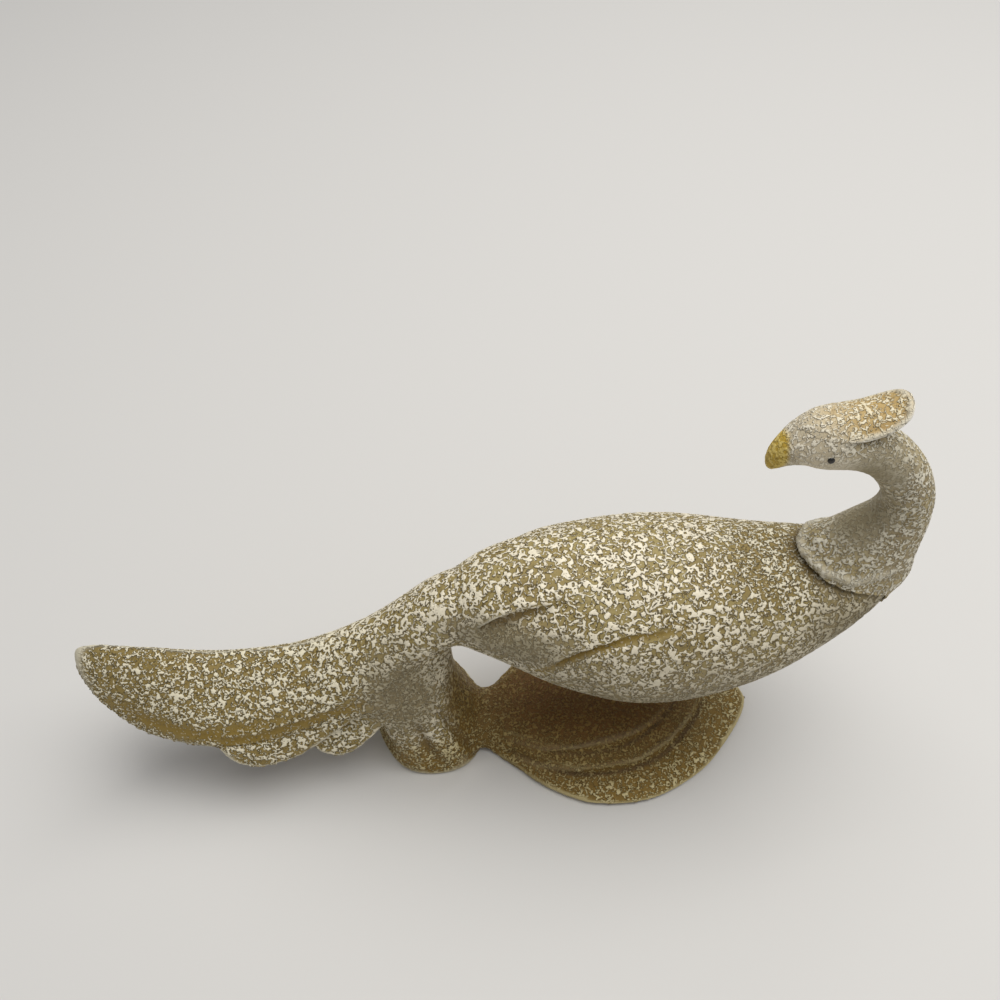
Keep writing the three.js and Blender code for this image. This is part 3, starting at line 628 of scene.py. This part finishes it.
figure = {
    "swell": 0.00035, "grid": 0.00063, "softening": 8, "relief": 0.26,
    "cover": -0.016, "finer": 0.1, "rims": (0.18, 0.42), "poolFrom": 0.35,
    "lumps": [
        {"node": "tail_foot", "centre": (-43, -12.5, 42), "reach": (8, 7, 7)},
        {"node": "tail_foot", "centre": (-38.5, -10.5, 48), "reach": (8, 7.6, 8)},
        {"node": "tail_foot", "centre": (-33, -9, 53), "reach": (8, 7.2, 8)},
        {"node": "second_tail_feather", "centre": (-50, -13, 42), "reach": (11, 6.8, 7)},
        {"node": "tail_foot", "centre": (-44, 4, 38), "reach": (8, 9.5, 8)},
        {"node": "tail_foot", "centre": (-5, 0, 5), "reach": (6, 11, 5)},
    ],
    "joints": [
        {"centre": (-27, 0, 60), "reach": (26, 26, 12), "soft": 0.5, "rounds": 90},
        {"centre": (-37, -10, 47), "reach": (14, 15, 15), "soft": 0.5, "rounds": 90},
        {"centre": (-50, -20, 38), "reach": (20, 12, 12), "soft": 0.6, "rounds": 30},
        {"centre": (-45, 10, 39), "reach": (12, 9, 13), "soft": 0.5, "rounds": 60},
        {"centre": (-3, -2, 10), "reach": (8, 22, 11), "soft": 0.4, "rounds": 60},
    ],
    "creases": [
        {   # upper wing crease, a ledge over a broad hollow, with painted shade under the ledge
            "path": [(-8, -14, 73, 0.1), (-3, -15.5, 80.5, 0.6), (5, -16.3, 86.5, 1), (17, -16.7, 92.3, 0.8),
                     (26, -16.3, 95, 0.5), (35, -16, 96.7, 0)],
            "widths": (3.8, 8), "depth": 1.2, "tone": "dark", "stain": 0.15, "mirrored": True,
        },
        {   # lower wing crease
            "path": [(14, -24, 68, 0.3), (20, -26.5, 75, 0.9), (30.5, -26.5, 82.5, 1), (45.5, -26, 88, 1),
                     (70, -24.5, 89.5, 0)],
            "widths": (1.3, 2.4), "depth": 0.7, "tone": "golden", "stain": 1.0, "mirrored": True,
        },
        {   # fold of the body round the collar, with painted shadow of the collar on the body
            "path": [(103.2, 0, 95.7, 1), (103.5, -2.5, 95.5, 1), (109, -10.5, 93, 1),
                     (117.5, -14, 89.5, 0.7), (127.5, -14, 86, 0.1)],
            "widths": (5, 5), "depth": 0.8, "tone": "dark", "stain": 0.65, "mirrored": True,
        },
        {   # valley between the first and the second tail feather
            "path": [(-96, -22.7, 34, 0.9), (-82, -22.3, 35, 1), (-64.5, -20.4, 40, 1),
                     (-45.5, -18, 46.5, 0.4)],
            "widths": (2.8, 4), "depth": 1.1, "tone": "golden", "stain": 1.0, "mirrored": False,
        },
        {   # valley between the second and the third
            "path": [(-67, -23.5, 26.5, 0.6), (-55, -21.5, 34, 0.9), (-43, -18, 43, 0)],
            "widths": (1.6, 2.4), "depth": 0.7, "tone": "golden", "stain": 0.8, "mirrored": False,
        },
        {   # low band along the lower edge of the first feather, golden glaze with painted shade
            "path": [(-133, -11, 49, 0.2), (-121.5, -16, 40, 1), (-104, -21, 36.5, 1), (-80, -21, 40, 0.6),
                     (-60, -19, 47, 0)],
            "widths": (5, 4), "depth": 0.5, "tone": "golden", "stain": 0.75, "mirrored": False,
        },
        {   # grooves between the lobes of the foot
            "path": [(-28, -18.5, 35, 0), (-27, -19.8, 28, 0.8), (-24.6, -20.7, 18, 1),
                     (-20, -22.3, 6, 0.4)],
            "widths": (3, 3), "depth": 1.3, "tone": "dark", "stain": 0.7, "mirrored": True,
        },
        {
            "path": [(-20, -15, 38, 0), (-17.8, -15.4, 30, 0.8), (-14, -16.4, 19, 1), (-8.5, -16.3, 7, 0.6)],
            "widths": (3, 3), "depth": 1.3, "tone": "dark", "stain": 0.7, "mirrored": True,
        },
        {   # edges of the terraces on the base
            "path": [(2, -14, 8.6, 0), (19, -20.5, 9.5, 1), (30, -22, 12, 1), (51.5, -17.5, 12, 1),
                     (63, -10.5, 9.3, 0.5)],
            "widths": (2.4, 1.1), "depth": -0.8, "tone": "bright", "stain": 0.12, "mirrored": True,
        },
        {
            "path": [(7, -19.5, 4, 0.3), (15, -24, 4.3, 0.8), (29, -28, 6, 1), (53.5, -26, 7.5, 1),
                     (66, -18.5, 7.6, 1), (75.5, -9.5, 7.5, 0.8)],
            "widths": (2.4, 1.1), "depth": -0.8, "tone": "bright", "stain": 0.12, "mirrored": True,
        },
    ],
    "patches": [
        {   # olive with pale flecks at the border of the base and low on the foot
            "centre": (22, 0, -8), "reach": (94, 90, 33), "soft": 0.2,
            "cover": -0.028, "calm": 0.0, "finer": 0.3, "tint": "flecked",
        },
        {   # olive on the terraces
            "centre": (36, 0, 6), "reach": (47, 32, 20), "soft": 0.25,
            "cover": -0.02, "calm": 0.0, "finer": 0.4, "tint": "olive",
        },
        {   # brown inside the terraces, darkened with the painted shadow of the body above
            "centre": (38, 0, 16), "reach": (36, 20, 18), "soft": 0.4,
            "cover": 0.0, "calm": 0.0, "finer": 0.2, "tint": "shadowedBrown",
        },
        {   # the foot's side towards the base
            "centre": (-8, 0, 26), "reach": (10, 20, 24), "soft": 0.4,
            "cover": -0.02, "calm": 0.0, "finer": 0.2, "tint": "olive",
        },
        {   # fine grey down the near side of the foot, with painted shade
            "centre": (-31, -16, 46), "reach": (13, 14, 20), "soft": 0.6,
            "cover": 0.01, "calm": 0.15, "finer": 0.5, "tint": "shadedGrey",
        },
        {   # fine grey under the upper wing crease, with painted shade under the ledge
            "centre": (9, -18, 80), "reach": (24, 14, 8), "soft": 0.6,
            "cover": 0.02, "calm": 0.25, "finer": 0.6, "tint": "shadedGrey",
        },
        {   # closed and grey low on the body, with painted shade on the belly
            "centre": (60, 0, 46), "reach": (70, 44, 34), "soft": 0.5,
            "cover": 0.02, "calm": 0.2, "finer": 0.4, "tint": "shadedGrey",
        },
        {   # painted shade in grey on the breast, which turns away from the light
            "centre": (122, 0, 72), "reach": (24, 34, 20), "soft": 0.5,
            "cover": 0.01, "calm": 0.1, "finer": 0.3, "tint": "shadedGrey",
        },
        {   # denser islands about the waist
            "centre": (-30, 0, 72), "reach": (44, 24, 26), "soft": 0.5,
            "cover": 0.022, "calm": 0.0, "finer": 0.0,
        },
        {   # darker ground and painted shade on the tail
            "centre": (-100, -10, 45), "reach": (64, 45, 45), "soft": 0.5,
            "cover": -0.01, "calm": 0.0, "finer": 0.25, "tint": "shade",
        },
        {   # sparse islands towards the tip of the tail
            "centre": (-125, -10, 46), "reach": (36, 40, 40), "soft": 0.5,
            "cover": -0.02, "calm": 0.0, "finer": 0.2,
        },
        {   # darker ground and painted shade on the back in front of the neck
            "centre": (98, 0, 100), "reach": (18, 26, 13), "soft": 0.5,
            "cover": -0.02, "calm": 0.0, "finer": 0.5, "tint": "shade",
        },
    ],
}
speckled = {
    "ground": (160, 143, 90),
    "groundWarm": (146, 127, 74),
    "deep": (88, 72, 34),
    "island": (242, 231, 203),
    "islandGrey": (224, 213, 187),
    "pool": (118, 94, 42),
    "rim": (194, 187, 165),
    "outline": 0.9,
    "mottling": 0.35,
    "grain": 0.16,
}
olive = {
    "ground": (128, 102, 38),
    "groundWarm": (112, 86, 32),
    "deep": (90, 68, 24),
    "island": (206, 190, 142),
    "islandGrey": (184, 166, 110),
    "pool": (84, 60, 20),
    "rim": (172, 156, 108),
    "outline": 0.5,
    "mottling": 0.35,
    "grain": 0.4,
}

cream = crawlGlaze("speckledGlaze", figure, speckled)
footGlaze = crawlGlaze("shadedGlaze", figure, speckled)
oliveGlaze = crawlGlaze("oliveGlaze", figure, olive)

parted = cast([
    "body_shell", "main_tail_feather", "second_tail_feather", "third_tail_feather", "tail_foot",
    "base_shell",
], figure)
finish(parted["body_shell"], "glazedBody", "body_shell", cream)
finish(parted["main_tail_feather"], "glazedMainFeather", "main_tail_feather", cream)
finish(parted["second_tail_feather"], "glazedSecondFeather", "second_tail_feather", cream)
finish(parted["third_tail_feather"], "glazedThirdFeather", "third_tail_feather", cream)
finish(parted["tail_foot"], "glazedFoot", "tail_foot", footGlaze)
finish(parted["base_shell"], "glazedBase", "base_shell", oliveGlaze)
print("body, tail, foot and base made")


# Neck, head, beak and crest

bird = {
    "swell": 0.00035, "grid": 0.0004, "softening": 8, "relief": 0.2,
    "cover": -0.02, "finer": 0.45, "rims": (0.16, 0.3), "poolFrom": 0.35,
    "lumps": [],
    "joints": [
        {"centre": (96, 0, 154), "reach": (9, 12, 6), "soft": 0.35, "rounds": 80},
    ],
    "creases": [
        {   # the collar's lip, which stands up
            "path": [(104.2, 0, 96.9, 1), (104.5, -2, 96.5, 1), (110, -10.5, 95, 1), (119.5, -13.5, 92.5, 1),
                     (132, -12, 95, 0.5)],
            "widths": (2.6, 2.2), "depth": -1.2, "tone": "bright", "stain": 0.6, "mirrored": True,
        },
        {   # rolled edge of the crest
            "path": [(102, -8.5, 151.5, 0.2), (112, -8, 154.4, 1), (117.5, -7.8, 156.1, 1),
                     (123, -6, 159.7, 1), (124, 0, 163, 0.8)],
            "widths": (1.8, 1.8), "depth": -0.4, "tone": "bright", "stain": 0.75, "mirrored": True,
        },
        {   # crease under that edge, with painted shadow under the rolled edge
            "path": [(99, -9.2, 149.2, 0), (104, -9.4, 150, 0.6), (112, -8.6, 152.6, 0.8),
                     (118, -7.4, 154.4, 0)],
            "widths": (0.8, 1.4), "depth": 0.35, "tone": "dark", "stain": 0.3, "mirrored": True,
        },
        {   # small fold behind the eye
            "path": [(104.5, -9.8, 149, 0), (106.5, -9.6, 148.8, 1), (109, -9.5, 148.4, 0)],
            "widths": (0.5, 0.7), "depth": 0.25, "tone": "dark", "stain": 0.5, "mirrored": True,
        },
    ],
    "patches": [
        {   # small flecks on the crest
            "centre": (110, 0, 159), "reach": (17, 14, 8), "soft": 0.4,
            "cover": -0.015, "calm": 0.0, "finer": 0.3,
        },
        {   # pale over the head and the front of the crest
            "centre": (97, 0, 148), "reach": (14, 20, 11), "soft": 0.5,
            "cover": 0.0, "calm": 0.2, "tint": "pale",
        },
        {   # smooth under the head and inside the bend of the neck, with painted shade in grey
            "centre": (108, 0, 138), "reach": (20, 22, 11), "soft": 0.4,
            "cover": 0.02, "calm": 0.75, "tint": "shadedGrey",
        },
        {
            "centre": (119, 0, 116), "reach": (9, 16, 14), "soft": 0.5,
            "cover": 0.0, "calm": 0.6, "tint": "shadedGrey",
        },
        {   # golden over the beak
            "centre": (80.6, 0, 145), "reach": (11.3, 14, 13), "soft": 0.09,
            "cover": 0.0, "calm": 0.0, "tint": "gilded",
        },
    ],
}
dusky = {
    "ground": (174, 157, 113),
    "groundWarm": (161, 146, 112),
    "deep": (130, 111, 72),
    "island": (233, 225, 202),
    "islandGrey": (201, 193, 169),
    "pool": (104, 86, 48),
    "rim": (196, 189, 172),
    "outline": 0.6,
    "mottling": 0.35,
    "grain": 0.3,
}
golden = {
    **dusky,
    "pool": (132, 100, 28),
    "rim": (222, 194, 110),
    "outline": 0.3,
    "mottling": 0.9,
    "grain": 1.2,
}
tan = {
    "ground": (186, 158, 100),
    "groundWarm": (176, 146, 90),
    "deep": (152, 124, 76),
    "island": (233, 221, 189),
    "islandGrey": (218, 201, 160),
    "pool": (140, 112, 70),
    "rim": (236, 231, 218),
    "outline": 0.5,
    "mottling": 0.35,
    "grain": 0.3,
}
neckGlaze = crawlGlaze("neckGlaze", bird, dusky)
crestGlaze = crawlGlaze("tanCrestGlaze", bird, tan)
beakGlaze = crawlGlaze("goldenBeakGlaze", bird, golden)
parted = cast(["neck_and_collar", "head", "beak", "crest"], bird)
finish(parted["neck_and_collar"], "glazedNeck", "neck_and_collar", neckGlaze)
finish(parted["head"], "glazedHead", "head", neckGlaze)
finish(parted["beak"], "glazedBeak", "beak", beakGlaze)
finish(parted["crest"], "glazedCrest", "crest", crestGlaze)
print("neck, head, beak and crest made")


# Eyes

eyeGlaze = {
    "colour": (20, 19, 16),
    "patch": (44, 38, 28),
    "patchScale": 1400.0,
    "patchDetail": 2.0,
    "patchSlope": (0.45, 0.65),
    "roughness": 0.3,
    "patchRoughness": 0.2,
}
eyeShare = (0.84, 0.96, 0.84)    # of the node's size
eyeAngle = 40


def darkGlaze(name, made):
    material = bpy.data.materials.new(name)
    material.use_nodes = True
    material.node_tree.nodes.clear()
    sheet = Sheet(material.node_tree)
    place = sheet.node("ShaderNodeTexCoord", None, None, "Object")
    cloud = sheet.noise(place, made["patchScale"], made["patchDetail"])
    patches = sheet.rise(cloud, *made["patchSlope"])
    skin = sheet.node("ShaderNodeBsdfPrincipled", None, {
        "Base Color": sheet.blend(patches, made["colour"], made["patch"]),
        "Roughness": made["roughness"] + patches * made["patchRoughness"],
    })
    sheet.node("ShaderNodeOutputMaterial", None, {"Surface": skin})
    return material


dark = darkGlaze("eyeGlaze", eyeGlaze)
for side in ("left", "right"):
    eye = roundedCopy(side + "_eye", 0)
    bpy.ops.object.origin_set(type="ORIGIN_GEOMETRY", center="BOUNDS")
    eye.scale = eyeShare
    bpy.ops.object.transform_apply(location=True, rotation=True, scale=True)
    eye.data.materials.clear()
    eye.data.materials.append(dark)
    eye.name = side + "GlazedEye"
    eye.data.name = eye.name
    bpy.ops.object.shade_smooth_by_angle(angle=radians(eyeAngle))
    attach(eye, "root")
    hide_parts(side + "_eye")
print("eyes made")


# Floor

bpy.ops.object.select_all(action="DESELECT")
bpy.ops.mesh.primitive_plane_add(size=floor["size"], location=(0, 0, 0))
table = bpy.context.object
table.name = "floor"
board = bpy.data.materials.new("paleTable")
board.use_nodes = True
coat = board.node_tree.nodes["Principled BSDF"]
coat.inputs["Base Color"].default_value = (*linear(floor["colour"]), 1)
coat.inputs["Roughness"].default_value = floor["roughness"]
table.data.materials.append(board)

print("all made")
